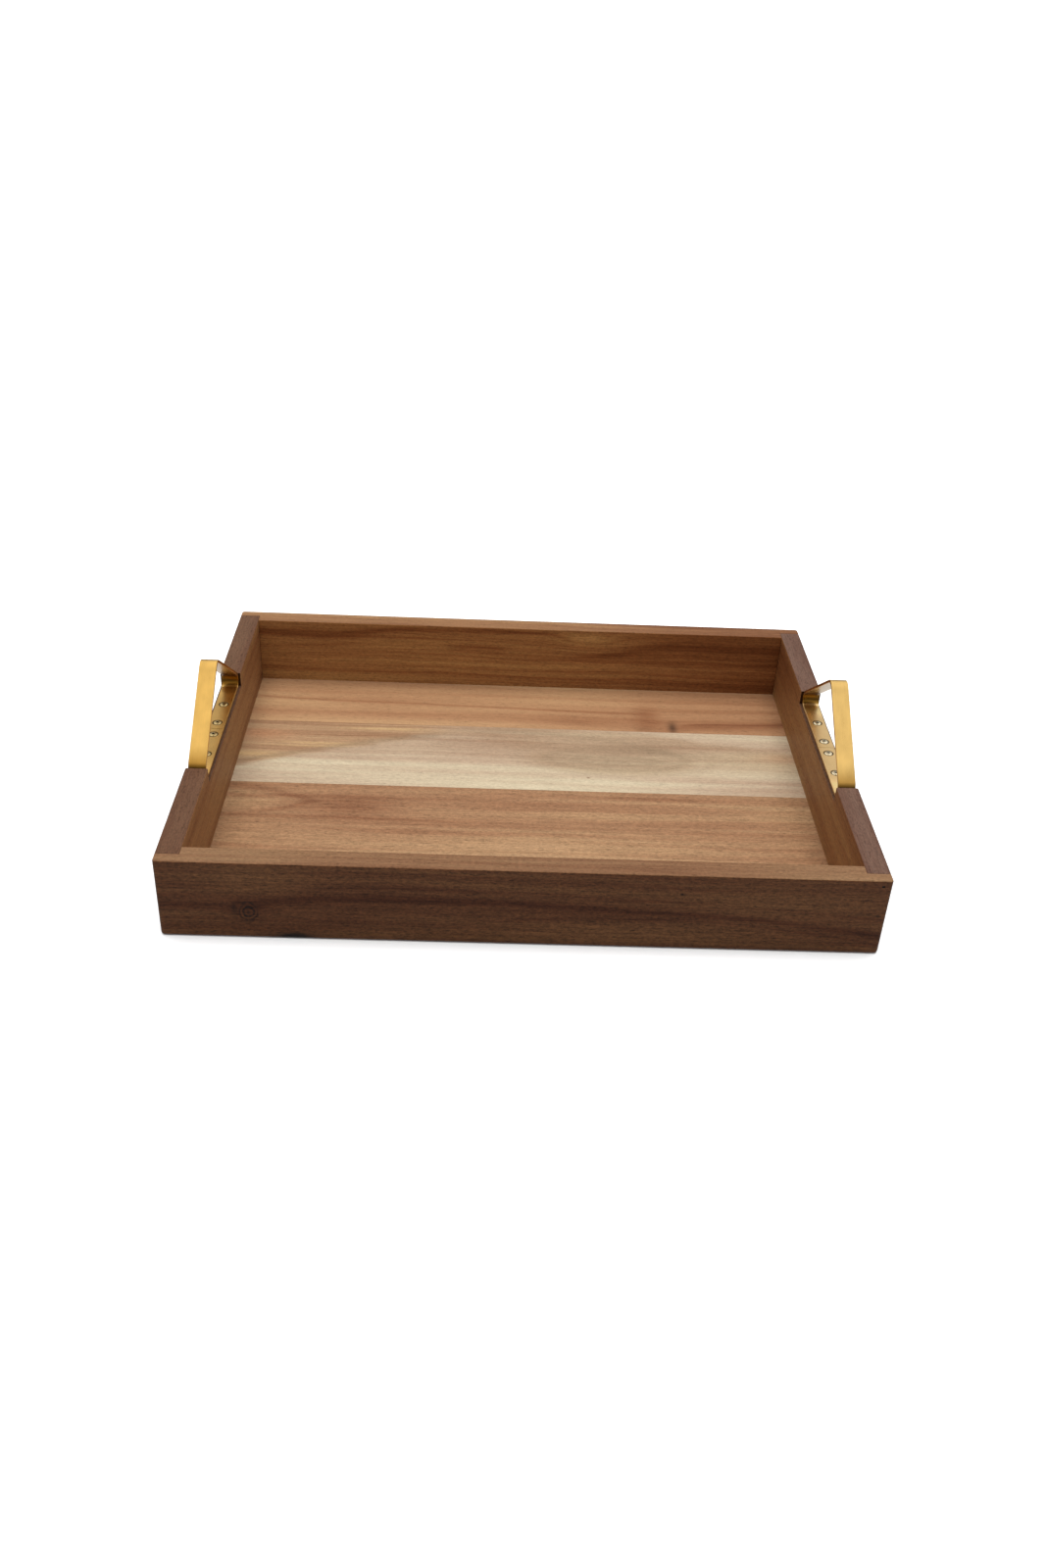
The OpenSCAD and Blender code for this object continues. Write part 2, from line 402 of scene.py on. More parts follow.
def handle_strap(name, side):
    """One strap: the bent loop, open at its seam, with four countersunk holes."""
    def make(bm):
        stations = strap_stations()
        rings = []
        for number, (at, turn) in enumerate(stations):
            is_end = number in (0, len(stations) - 1)
            out = Vector((math.cos(turn), math.sin(turn)))
            ring = []
            for across, depth in strap_section(END_EASE if is_end else 0):
                point = at - out * depth
                ring.append(bm.verts.new((side * STRAP_X + across, point.x, NOTCH_Z + point.y)))
            rings.append(ring)
        join_rings(bm, rings)
        bm.faces.new(rings[0])
        bm.faces.new(rings[-1])

    def holes(bm):
        sink_h = SINK_R - BORE_R
        top = NOTCH_Z + STRAP_T
        profile = [(0, NOTCH_Z - PAST), (BORE_R, NOTCH_Z - PAST), (BORE_R, top - sink_h), (SINK_R, top),
                   (SINK_R + PAST, top + PAST), (0, top + PAST)]
        for y in SCREW_YS:
            turn_profile(bm, profile, Matrix.Translation((side * STRAP_X, y, 0)), segments=48)

    strap = new_piece(name, make)
    cut_out(strap, new_piece("sinks", holes))
    return strap


def recess_arm(turn, at):
    """One arm of a cross recess: a bar that narrows and shortens downwards."""
    def make(bm):
        place = at @ Matrix.Rotation(math.radians(turn), 4, "Z")
        rings = []
        for z, half_l, half_w in (RECESS_MOUTH, RECESS_FLOOR):
            corners = ((half_l, half_w), (-half_l, half_w), (-half_l, -half_w), (half_l, -half_w))
            rings.append([bm.verts.new(place @ Vector((x, y, z))) for x, y in corners])
        join_rings(bm, rings)
        bm.faces.new(rings[0])
        bm.faces.new(rings[1])

    return new_piece("recess_arm", make)


def screw_profile():
    """Half outline of a screw, from the top of its dome to its point."""
    steps = 14
    outline = []
    for i in range(steps):
        share = i / steps
        outline.append((HEAD_R * share, HEAD_EDGE + (DOME_H - HEAD_EDGE) * (1 - share ** DOME_POWER)))
    outline += [(HEAD_R - HEAD_EDGE / 2, HEAD_EDGE), (HEAD_R, 0), (HEAD_R - HEAD_EDGE, -HEAD_EDGE)]
    outline.append((THREAD_R, THREAD_R - HEAD_R))
    root = THREAD_R - THREAD_DEPTH
    start = TIP_L - SCREW_L + THREAD_TURNS * THREAD_PITCH
    for turn in range(THREAD_TURNS):
        outline.append((THREAD_R, start - turn * THREAD_PITCH))
        outline.append((root, start - (turn + 0.5) * THREAD_PITCH))
    return outline + [(root, TIP_L - SCREW_L), (0, -SCREW_L)]


def handle_screw(name, side, number):
    place = Matrix.Translation((side * STRAP_X, SCREW_YS[number], NOTCH_Z + STRAP_T - HEAD_DROP))
    screw = new_piece(name, lambda bm: turn_profile(bm, screw_profile(), place, segments=48))
    turn = RECESS_TURNS["left" if side < 0 else "right"][number]
    cut_out(screw, recess_arm(turn, place), recess_arm(turn + 90, place))
    return screw


# ---------- materials ----------

class Shader:
    """Makes the nodes of one material. Every call gives back the new node's output socket."""

    def __init__(self, name):
        self.material = bpy.data.materials.new(name)
        self.material.use_nodes = True
        self.tree = self.material.node_tree
        self.surface = self.tree.nodes["Principled BSDF"]

    def join(self, value, socket):
        if isinstance(value, bpy.types.NodeSocket):
            self.tree.links.new(value, socket)
        else:
            socket.default_value = value

    def add(self, kind, inputs, out=0, **settings):
        node = self.tree.nodes.new("ShaderNode" + kind)
        for key, value in settings.items():
            setattr(node, key, value)
        for key, value in inputs.items():
            self.join(value, node.inputs[key])
        return node.outputs[out]

    def place_mm(self):
        place = self.add("TexCoord", {}, out=3)
        return self.add("VectorMath", {0: place, "Scale": 1 / MM}, operation="SCALE")

    def split(self, vector, axes="xyz"):
        node = self.tree.nodes.new("ShaderNodeSeparateXYZ")
        self.join(vector, node.inputs[0])
        return [node.outputs["xyz".index(axis)] for axis in axes]

    def math(self, operation, *values):
        return self.add("Math", dict(enumerate(values)), operation=operation)

    def sum(self, *values):
        total = values[0]
        for value in values[1:]:
            total = self.math("ADD", total, value)
        return total

    def times(self, *values):
        total = values[0]
        for value in values[1:]:
            total = self.math("MULTIPLY", total, value)
        return total

    def centred(self, value, amount):
        """Turns noise, which lies round 0.5, into a change of about half the amount either way."""
        return self.math("MULTIPLY_ADD", value, amount, -0.5 * amount)

    def fade(self, value, start, end, low=0.0, high=1.0):
        """Goes smoothly from low to high as the value goes from start to end."""
        ends = {"From Min": start, "From Max": end, "To Min": low, "To Max": high}
        return self.add("MapRange", {"Value": value, **ends}, interpolation_type="SMOOTHSTEP")

    def mix(self, share, a, b, blend="MIX"):
        return self.add("Mix", {0: share, 6: a, 7: b}, out=2, data_type="RGBA", blend_type=blend)

    def noise(self, vector, stretch, detail=2.0, roughness=0.5):
        """Smooth noise whose grains have the size of stretch, in the vector's unit."""
        scaled = self.add("VectorMath", {0: vector, 1: [1 / s for s in stretch]}, operation="MULTIPLY")
        inputs = {"Vector": scaled, "Scale": 1.0, "Detail": detail, "Roughness": roughness}
        return self.add("TexNoise", inputs)

    def hump(self, value, centre, width):
        """One at the centre, and falls to nothing on both sides."""
        off = self.math("DIVIDE", self.math("SUBTRACT", value, centre), width)
        return self.math("EXPONENT", self.times(off, off, -1.0))

    def ramp(self, value, *stops):
        node = self.tree.nodes.new("ShaderNodeValToRGB")
        self.join(value, node.inputs[0])
        elements = node.color_ramp.elements
        while len(elements) < len(stops):
            elements.new(0.5)
        for element, (position, shade) in zip(elements, stops):
            element.position = position
            element.color = shade
        return node.outputs[0]

    def tint(self, base, shade):
        """Multiplies a colour by a grey number."""
        grey = self.add("CombineColor", {0: shade, 1: shade, 2: shade})
        return self.mix(1.0, base, grey, "MULTIPLY")

    def set(self, **values):
        for key, value in values.items():
            self.join(value, self.surface.inputs[key.replace("_", " ")])


def colour(r, g, b):
    return (r, g, b, 1.0)


GAIN_LIGHT = colour(1.43, 1.68, 1.75)
GAIN_PALE = colour(1.12, 1.22, 1.21)
GAIN_MIDDLE = colour(0.95, 0.93, 0.92)
GAIN_DEEP = colour(0.69, 0.57, 0.53)
GAIN_DARK = colour(0.44, 0.31, 0.28)
END_SHADE = 0.6              # of end grain, against the faces
WOOD_SPECULAR = 0.12
WOOD_ROUGHNESS = 0.52
STREAK_L = 520               # length of a streak along the grain, in mm

TAN = colour(0.262, 0.14, 0.071)
TAN_FRONT = colour(0.213, 0.113, 0.058)
TAN_DARK = colour(0.09, 0.04, 0.02)
CREAM = colour(0.325, 0.245, 0.168)
BEIGE = colour(0.265, 0.184, 0.115)
HEART = colour(0.255, 0.152, 0.083)
HEART_GREY = colour(0.165, 0.115, 0.07)
HEART_YELLOW = colour(0.34, 0.22, 0.105)
HEART_RED = colour(0.265, 0.13, 0.065)
# outer faces, end grain and undersides: the wood's colour darkened by painted shade
SHADED_OUTSIDE = colour(0.073, 0.0268, 0.0092)
# rims: partly the wood's own tone, partly painted light falling from above
RIM_FRONT = colour(0.145, 0.073, 0.036)
RIM_BACK = colour(0.187, 0.093, 0.042)
RIM_LEFT = colour(0.083, 0.039, 0.021)
RIM_RIGHT = colour(0.108, 0.062, 0.044)
# inside faces: partly the wood's own tone, partly painted bounce light, so each face has its own colour
INSIDE_BACK = colour(0.325, 0.152, 0.054)
INSIDE_LEFT = colour(0.262, 0.126, 0.051)
INSIDE_RIGHT = colour(0.225, 0.1, 0.037)
# painted shade on the notch's floor beside the strap
NOTCH_SHADE = colour(0.07, 0.034, 0.019)
KNOT_DARK = colour(0.03, 0.015, 0.009)
KNOT_BLACK = colour(0.011, 0.006, 0.004)


class Wood(Shader):
    """Wood whose grain runs along the first of three axes, such as "xzy": along, across the face, into it.

    Places and widths on it are in millimetres. The level is the place across the grain, moved by the sway
    of the trunk, so whatever is drawn by level follows the same flowing lines.
    """

    def __init__(self, name, axes, seed, sway):
        super().__init__(name)
        self.along, self.across, self.into = self.split(self.place_mm(), axes)
        self.shifted = self.sum(self.along, 1000.0 * seed)
        self.place = self.add("CombineXYZ", {0: self.shifted, 1: self.across, 2: self.into})
        slow = self.centred(self.noise(self.place, (180, 30, 30), 1), 2.4 * sway)
        quick = self.centred(self.noise(self.place, (42, 9, 9), 1), 0.6 * sway)
        self.level = self.sum(self.across, slow, quick)
        self.normal = dict(zip("xyz", self.split(self.add("TexCoord", {}, out=1))))
        self.grain_axis = axes[0]

    def swell(self, along, across, length, width, height):
        """Lifts the growth lines over a patch, so that they close into an oval or bend round a knot."""
        self.level = self.sum(self.level, self.times(self.blob(along, across, length, width), height))

    def figure(self, band, lean=0.35, broad=0.4, streaky=1.3, fine=0.7):
        """Streaks and cathedrals along the growth lines. Low is light, high is dark, 0.5 is the middle."""
        growth = self.sum(self.level, self.times(self.into, lean))
        stretched = self.times(self.shifted, 1 / STREAK_L)
        flow = self.add("CombineXYZ", {0: stretched, 1: self.times(growth, 1 / band)})
        streaks = self.add("TexNoise", {"Vector": flow, "Scale": 1.0, "Detail": 6.0, "Roughness": fine})
        clouds = self.noise(self.place, (190, 42, 42), 1)
        return self.sum(0.5, self.centred(streaks, streaky), self.centred(clouds, broad))

    def bowed(self, path, span):
        """Height of the level above a bowed line. Its path is the level at a span's start, middle and end."""
        first, middle, last = path
        t = self.add("MapRange", {"Value": self.along, "From Min": span[0], "From Max": span[1]})
        bow = self.times(self.math("SUBTRACT", 1.0, t), t, 4.0 * (middle - (first + last) / 2))
        return self.math("SUBTRACT", self.level, self.sum(self.times(t, last - first), bow, first))

    def streak(self, path, width, span, soft=22):
        off = self.math("DIVIDE", self.bowed(path, span), width)
        ends = self.times(self.fade(self.along, span[0] - soft, span[0] + soft),
                          self.fade(self.along, span[1] + soft, span[1] - soft))
        return self.times(self.math("EXPONENT", self.times(off, off, -1.0)), ends)

    def above(self, path, span, soft):
        """One where the wood lies above a bowed and somewhat ragged line, zero below it."""
        ragged = self.centred(self.noise(self.place, (34, 12, 12), 2), 11)
        return self.fade(self.sum(self.bowed(path, span), ragged), -soft, soft)

    def blob(self, along, across, length, width):
        return self.times(self.hump(self.along, along, length), self.hump(self.across, across, width))

    def oval(self, along, level, length, width):
        """How far out the wood lies in an oval: zero in its middle, and one on its outline."""
        off_a = self.math("DIVIDE", self.math("SUBTRACT", self.along, along), length)
        off_b = self.math("DIVIDE", self.math("SUBTRACT", self.level, level), width)
        return self.math("SQRT", self.sum(self.times(off_a, off_a), self.times(off_b, off_b)))

    def lens(self, along, level, length, width):
        """Like oval, but with pointed ends."""
        off_a = self.math("DIVIDE", self.math("SUBTRACT", self.along, along), length)
        off_b = self.math("DIVIDE", self.math("SUBTRACT", self.level, level), width)
        return self.sum(self.times(off_a, off_a), self.math("ABSOLUTE", off_b))

    def patch(self, along, level, length, width):
        """A blob whose outline flows with the growth lines."""
        return self.times(self.hump(self.along, along, length), self.hump(self.level, level, width))

    def change(self, tone, *changes):
        """Adds each share, times its strength, to a tone."""
        for share, strength in changes:
            tone = self.sum(tone, self.times(share, strength))
        return tone

    def stain(self, mean, tone):
        """Colours a figure round its mean colour: yellower where it's light, redder where it's dark."""
        gain = self.ramp(tone, (0.1, GAIN_LIGHT), (0.38, GAIN_PALE), (0.55, GAIN_MIDDLE),
                         (0.74, GAIN_DEEP), (1.0, GAIN_DARK))
        return self.mix(1.0, mean, gain, "MULTIPLY")

    def facing(self, axis, sign):
        """One on the faces that look along an axis."""
        return self.fade(self.times(self.normal[axis], sign), 0.35, 0.8)

    def ring_knot(self, base, along, across, radius, pitch):
        """A small round knot: worn rings, the inner ones darker, about a brown heart with a dark speck."""
        off_a = self.times(self.math("SUBTRACT", self.along, along), 1.1)
        off_b = self.times(self.math("SUBTRACT", self.across, across), 0.82)
        ragged = self.centred(self.noise(self.place, (6, 4, 4), 2), 3.2)
        squares = self.sum(self.times(off_a, off_a), self.times(off_b, off_b))
        far = self.sum(self.math("SQRT", squares), ragged)
        rings = self.fade(self.math("SINE", self.times(far, 2 * math.pi / pitch)), -0.8, 0.6)
        worn = self.fade(self.noise(self.place, (2.5, 2.5, 2.5), 2, 0.6), 0.3, 0.6, 0.35, 0.95)
        past_heart = self.fade(far, 0.2 * radius, 0.3 * radius)
        inside = self.fade(far, 1.1 * radius, 0.5 * radius)
        base = self.mix(self.times(rings, past_heart, inside, worn), base, KNOT_BLACK)
        return self.mix(self.fade(far, 0.2 * radius, 0.05 * radius, 0.0, 0.6), base, KNOT_BLACK)

    def finish(self, base, pores=0.35, speckle=0.55, fibre=0.6, calm_top=0.0):
        """Adds fibres, pores, flecks, dark end grain, gloss and relief. Faces that look up can be calmer."""
        fibres = self.noise(self.place, (22, 0.8, 0.8), 3, 0.6)
        holes = self.fade(self.noise(self.place, (5, 0.6, 0.6), 2, 0.6), 0.55, 0.68)
        fleck = self.noise(self.place, (2.0, 1.0, 1.0), 2, 0.65)
        flecks = self.centred(fleck, speckle)
        detail = self.sum(self.times(holes, -pores), flecks, self.centred(fibres, fibre))
        strength = self.math("MULTIPLY_ADD", self.facing("z", 1), -calm_top, 1.0)
        shade = self.sum(1.0 + 0.2 * pores, self.times(detail, strength))
        along_grain = self.math("ABSOLUTE", self.normal[self.grain_axis])
        end_grain = self.fade(along_grain, 0.5, 0.95, 1.0, END_SHADE)
        base = self.tint(base, self.times(shade, end_grain))
        gloss = self.sum(WOOD_ROUGHNESS, self.times(holes, 0.15), self.centred(fleck, 0.15))
        height = self.sum(self.times(holes, -1.0), self.times(fleck, 0.4), self.times(fibres, 0.5))
        bump = self.add("Bump", {"Height": height, "Strength": 0.4, "Distance": 0.06 * MM})
        self.set(Base_Color=base, Roughness=gloss, Normal=bump, Specular_IOR_Level=WOOD_SPECULAR)
        return self.material


def back_plank_wood():
    wood = Wood("back_plank_wood", "xyz", 1, sway=3)
    wood.swell(100, 82, 16, 12, 6)
    tone = wood.change(
        wood.figure(band=11, streaky=0.6, fine=0.45),
        (wood.fade(wood.along, -60, 190), 0.07),
        (wood.streak((114, 106, 103), 1.6, (-200, 90)), 0.18),
        (wood.streak((91, 89, 88), 5, (-200, 60)), 0.12),
        (wood.streak((88, 91, 95), 4, (115, 215)), 0.16),
        (wood.streak((91, 93, 96), 0.9, (120, 215), 8), 0.2),
        (wood.blob(92, 100, 9, 16), 0.14),
    )
    base = wood.stain(TAN, tone)
    base = wood.mix(wood.times(wood.blob(109, 85, 3.2, 8), 0.75), base, KNOT_DARK)
    base = wood.mix(wood.times(wood.blob(88, 82, 6, 3.5), 0.35), base, TAN_DARK)
    return wood.finish(base, pores=0.25, speckle=0.45, fibre=0.35)


def middle_back_plank_wood():
    """Sapwood, with brown and yellow heartwood at the back left and a grey swirl right of the middle."""
    wood = Wood("middle_back_plank_wood", "xyz", 2, sway=4)
    wood.swell(66, 45, 42, 11, 9)
    tone = wood.figure(band=11, broad=0.5, streaky=0.7, fine=0.55)
    cream = wood.stain(CREAM, tone)
    beige = wood.stain(BEIGE, tone)
    heart = wood.stain(HEART, wood.figure(band=6, streaky=1.4))
    for place, size, shade in (
        ((-130, 49), (34, 1.4), HEART_YELLOW),
        ((-140, 53), (24, 1.2), HEART_YELLOW),
        ((-92, 71), (28, 2), HEART_YELLOW),
        ((-184, 35), (24, 3.5), HEART_YELLOW),
        ((-178, 61), (24, 6), HEART_RED),
        ((186, 48), (26, 7), HEART_RED),
    ):
        heart = wood.mix(wood.times(wood.patch(*place, *size), 0.9), heart, shade)
    heart_line, heart_span = (19, 49, 66), (-189, -44)
    right_half = wood.fade(wood.along, -85, -15)
    left_half = wood.math("SUBTRACT", 1.0, right_half)
    below_wedge = wood.math("SUBTRACT", 1.0, wood.above((84, 77, 54), (-100, 190), 4))
    swirl = wood.oval(66, 43, 68, 23)
    pale_brown = wood.times(wood.above((28, 42, 24), (-150, 60), 7), 0.3)
    brown = wood.times(wood.above((68, 40, 30), (-60, 150), 13), right_half, 0.8)
    swirl_share = wood.times(wood.fade(swirl, 1.15, 0.75), 0.85)
    beige_share = wood.math("MAXIMUM", wood.math("MAXIMUM", brown, swirl_share), pale_brown)
    base = wood.mix(wood.times(beige_share, below_wedge), cream, beige)
    heart_share = wood.times(wood.above(heart_line, heart_span, 4), below_wedge, left_half, 0.95)
    base = wood.mix(heart_share, base, heart)
    base = wood.mix(wood.times(wood.patch(186, 48, 34, 9), 0.5), base, heart)
    rings = wood.fade(wood.math("SINE", wood.times(swirl, 20)), -0.4, 1.0)
    lines = wood.sum(wood.streak(heart_line, 3.2, (-200, -50)),
                     wood.times(wood.streak((71, 68, 48), 2.5, (-40, 125)), 0.6),
                     wood.times(wood.fade(swirl, 1.1, 0.3), 0.55),
                     wood.times(rings, wood.fade(swirl, 1.2, 0.8), 0.45))
    base = wood.mix(wood.times(lines, 0.45), base, HEART_GREY)
    base = wood.mix(wood.times(wood.blob(45.6, 16.6, 1.1, 0.8), 0.8), base, TAN_DARK)
    return wood.finish(base, pores=0.15, speckle=0.65, fibre=0.4)


def middle_front_plank_wood():
    wood = Wood("middle_front_plank_wood", "xyz", 3, sway=4)
    wood.swell(-185, -22, 34, 10, 5)
    oval = wood.lens(-192, -20, 58, 16)
    tone = wood.change(
        wood.figure(band=10, streaky=1.0, fine=0.65),
        (wood.hump(oval, 1.0, 0.2), 0.12),
        (wood.fade(oval, 1.1, 0.4), -0.13),
        (wood.hump(oval, 0.55, 0.08), 0.06),
        (wood.blob(-106, -25, 30, 13), 0.16),
        (wood.streak((-6, -5, -5), 4, (60, 200)), 0.12),
        (wood.streak((-58, -60, -62), 9, (-200, 200)), -0.05),
    )
    base = wood.stain(TAN_FRONT, tone)
    base = wood.mix(wood.times(wood.blob(-165.7, -45.2, 1.0, 0.8), 0.8), base, TAN_DARK)
    return wood.finish(base, pores=0.3, speckle=1.15, fibre=0.7)


def front_plank_wood():
    wood = Wood("front_plank_wood", "xyz", 4, sway=6)
    return wood.finish(wood.stain(TAN_FRONT, wood.figure(band=12)))


def board_base(wood, tone, across_axis, outwards, inside, rim):
    """A board's colour: painted shade outside, on its end grain and below, and on the rim and inside colours
    that are partly its own and partly painted light.
    """
    # painted shade on the outer face, the end grain and the underside
    mean = wood.mix(wood.facing(across_axis, outwards), inside, SHADED_OUTSIDE)
    mean = wood.mix(wood.facing(wood.grain_axis, 1), mean, SHADED_OUTSIDE)
    mean = wood.mix(wood.facing(wood.grain_axis, -1), mean, SHADED_OUTSIDE)
    mean = wood.mix(wood.facing("z", -1), mean, SHADED_OUTSIDE)
    # rim colour, partly painted light from above
    mean = wood.mix(wood.facing("z", 1), mean, rim)
    return wood.stain(mean, tone)


def front_board_wood():
    wood = Wood("front_board_wood", "xzy", 11, sway=4)
    wood.swell(-153, 18.7, 13, 5, 4)
    outside = wood.facing("y", -1)
    tone = wood.change(
        wood.figure(band=6, lean=0.8, streaky=1.25),
        (wood.streak((25, 28, 12), 2.2, (-150, 215)), 0.26),
        (wood.streak((17, 20, 5), 1.0, (-20, 215)), 0.16),
        (wood.streak((33, 36, 22), 0.9, (-120, 215)), 0.14),
        (wood.streak((22, 22, 22), 3, (-215, -165)), 0.2),
        (wood.blob(-150, 41, 34, 10), -0.26),
        (wood.blob(135, 33, 55, 8), -0.2),
        (wood.blob(55, 12, 55, 5), -0.2),
        (wood.blob(-110, 12, 30, 8), 0.14),
        (wood.blob(-153, 19, 15, 9), 0.14),
        (wood.times(wood.fade(wood.along, 60, 200), outside), 0.08),
        (wood.times(wood.fade(wood.along, 60, 180), wood.facing("z", 1)), -0.12),
        (wood.streak((4, 5, 4), 2, (-118, 215)), -0.2),
    )
    base = board_base(wood, tone, "y", -1, INSIDE_BACK, RIM_FRONT)
    base = wood.mix(outside, base, wood.ring_knot(base, -153, 18.7, 7.5, 2.4))
    bottom_mark = wood.times(wood.blob(-128.5, 1.7, 11, 2.5), 1.4)
    speck = wood.blob(87, 39, 0.9, 0.8)
    beside_knot = wood.times(wood.blob(-160.8, 19.8, 1.6, 3.8), 0.65)
    filled_brad = wood.times(wood.blob((OUTER_X - BRAD_INSET) / MM, BRAD_ZS[1] / MM, 1.1, 1), 0.6)
    marks = wood.sum(bottom_mark, speck, beside_knot, filled_brad)
    base = wood.mix(wood.times(marks, outside, 0.95), base, KNOT_BLACK)
    return wood.finish(base, pores=0.4, speckle=1.8, fibre=1.15, calm_top=0.35)


def back_board_wood():
    wood = Wood("back_board_wood", "xzy", 12, sway=5)
    wood.swell(52, 44, 20, 6, 7)
    tone = wood.change(
        wood.figure(band=6, lean=0.8, streaky=1.5),
        (wood.streak((42, 41, 41), 2.5, (-205, -115)), 0.28),
        (wood.streak((34, 34, 35), 1.6, (-205, -120)), 0.22),
        (wood.streak((43, 47, 50), 1.5, (-115, 20)), 0.28),
        (wood.blob(50, 46, 17, 4), -0.35),
        (wood.streak((34, 36, 38), 2.2, (48, 90)), 0.3),
        (wood.streak((42, 42, 40), 5, (90, 215)), 0.26),
        (wood.streak((34, 35, 35), 2, (-50, -12), 8), 0.2),
        (wood.fade(wood.along, -120, 190), 0.27),
        (wood.times(wood.fade(wood.along, 60, 190), wood.facing("y", -1)), 0.07),
    )
    base = board_base(wood, tone, "y", 1, INSIDE_BACK, RIM_BACK)
    return wood.finish(base, pores=0.3, speckle=1.0, fibre=0.85, calm_top=0.2)


def end_board_wood(name, seed, side, inside, rim):
    wood = Wood(name, "yzx", seed, sway=5)
    tone = wood.change(
        wood.figure(band=11, streaky=1.2),
        (wood.fade(wood.across, 20, 48), 0.1),
        (wood.blob(125, 36, 45, 14), 0.24 if side > 0 else 0.04),
        (wood.blob(10, 36, 50, 14), -0.06),
    )
    base = board_base(wood, tone, "x", side, inside, rim)
    # painted shade on the floor of the notch, the up-facing wood a little below the rim
    in_notch = wood.times(wood.fade(wood.across, RIM_Z / MM - 3, RIM_Z / MM - 6), wood.facing("z", 1))
    return wood.finish(wood.mix(in_notch, base, NOTCH_SHADE), pores=0.3, speckle=1.1, fibre=0.8)


def from_screws(shader):
    """Distance from the nearest screw's axis, and the height, in millimetres."""
    x, y, z = shader.split(shader.place_mm())
    off_x = shader.math("SUBTRACT", shader.math("ABSOLUTE", x), STRAP_X / MM)
    y = shader.math("ABSOLUTE", y)
    near, far = (shader.math("SUBTRACT", y, place / MM) for place in SCREW_YS if place > 0)
    off_y = shader.math("MINIMUM", shader.math("ABSOLUTE", near), shader.math("ABSOLUTE", far))
    return shader.math("SQRT", shader.sum(shader.times(off_x, off_x), shader.times(off_y, off_y))), z


# one brass: the two sides differ by painted light, and the inside colours are painted reflections
STRAP_LEFT = colour(0.83, 0.5, 0.133)
STRAP_LEFT_INSIDE = colour(0.61, 0.365, 0.105)
STRAP_UNDER_REFLECTION = colour(0.85, 0.82, 0.76)     # painted reflection of the white table, on faces that look down
STRAP_FOOT_SHADE = colour(0.42, 0.31, 0.12)      # painted shade at the very foot: the share of the colour left there
STRAP_RIGHT = colour(0.79, 0.51, 0.168)
STRAP_RIGHT_INSIDE = colour(0.79, 0.54, 0.245)
# one brass: the two sides' head colours differ by painted reflection
SCREW_LEFT = colour(0.62, 0.46, 0.21)
SCREW_RIGHT = colour(0.92, 0.8, 0.55)
GAP_SHADE = colour(0.08, 0.05, 0.02)         # painted shade round the screws and in their recesses


def strap_metal(name, outside, inside):
    """Brushed brass, with fine lines along the strap; painted shade at the feet, just below the top bend and
    round the screws, a painted highlight inside the bends at the feet, and painted reflections on the inside
    and downward faces.
    """
    shader = Shader(name)
    place = shader.place_mm()
    lines = shader.noise(place, (0.45, 60, 60), 2, 0.6)
    cloud = shader.noise(place, (7, 13, 13), 3, 0.5)
    shade = shader.sum(1.0, shader.centred(lines, 0.2), shader.centred(cloud, 0.5))
    distance, height = from_screws(shader)
    rim = HEAD_R / MM
    top = (NOTCH_Z + STRAP_T) / MM
    peak = STRAP_HIGH.z / MM
    foot_reach = STRAP_HALF / MM
    on_base = shader.fade(height, top + 0.2, top + 0.05)
    # painted shade in the countersink gap round each head
    ring = shader.times(shader.fade(distance, rim + 0.75, rim + 0.45), on_base)
    inner = shader.fade(height, top + 1.2, top + 0.3)
    reach = shader.math("ABSOLUTE", shader.split(place, "y")[0])
    feet = shader.times(shader.fade(reach, foot_reach - 24, foot_reach - 12),
                        shader.fade(height, RIM_Z / MM + 9.5, RIM_Z / MM - 1))
    # painted highlight on the inside of the bends at the feet
    painted_bend_highlight = shader.times(feet, inner, 0.35)
    # painted shade just below the top bend
    shade_below_peak = shader.times(shader.hump(height, peak - 2.8, 1.1), -0.07)
    shade = shader.times(shade, shader.sum(1.0, painted_bend_highlight, shade_below_peak))
    # painted shade at the feet of the bars
    foot = tuple(a * b for a, b in zip(outside, STRAP_FOOT_SHADE))
    base = shader.mix(shader.times(feet, 0.9), outside, foot)
    base = shader.mix(inner, base, inside)
    down = shader.split(shader.add("TexCoord", {}, out=1), "z")[0]
    # painted reflection of the white table on faces that look down
    base = shader.mix(shader.fade(down, -0.3, -0.7, 0.0, 0.5), base, STRAP_UNDER_REFLECTION)
    base = shader.mix(shader.times(ring, 0.85), shader.tint(base, shade), GAP_SHADE)
    unevenness = shader.sum(shader.centred(lines, 0.08), shader.centred(cloud, 0.06))
    rough = shader.sum(0.29, unevenness, shader.times(ring, 0.3))
    bump = shader.add("Bump", {"Height": lines, "Strength": 0.1, "Distance": 0.008 * MM})
    shader.set(Base_Color=base, Metallic=1.0, Roughness=rough, Normal=bump)
    return shader.material


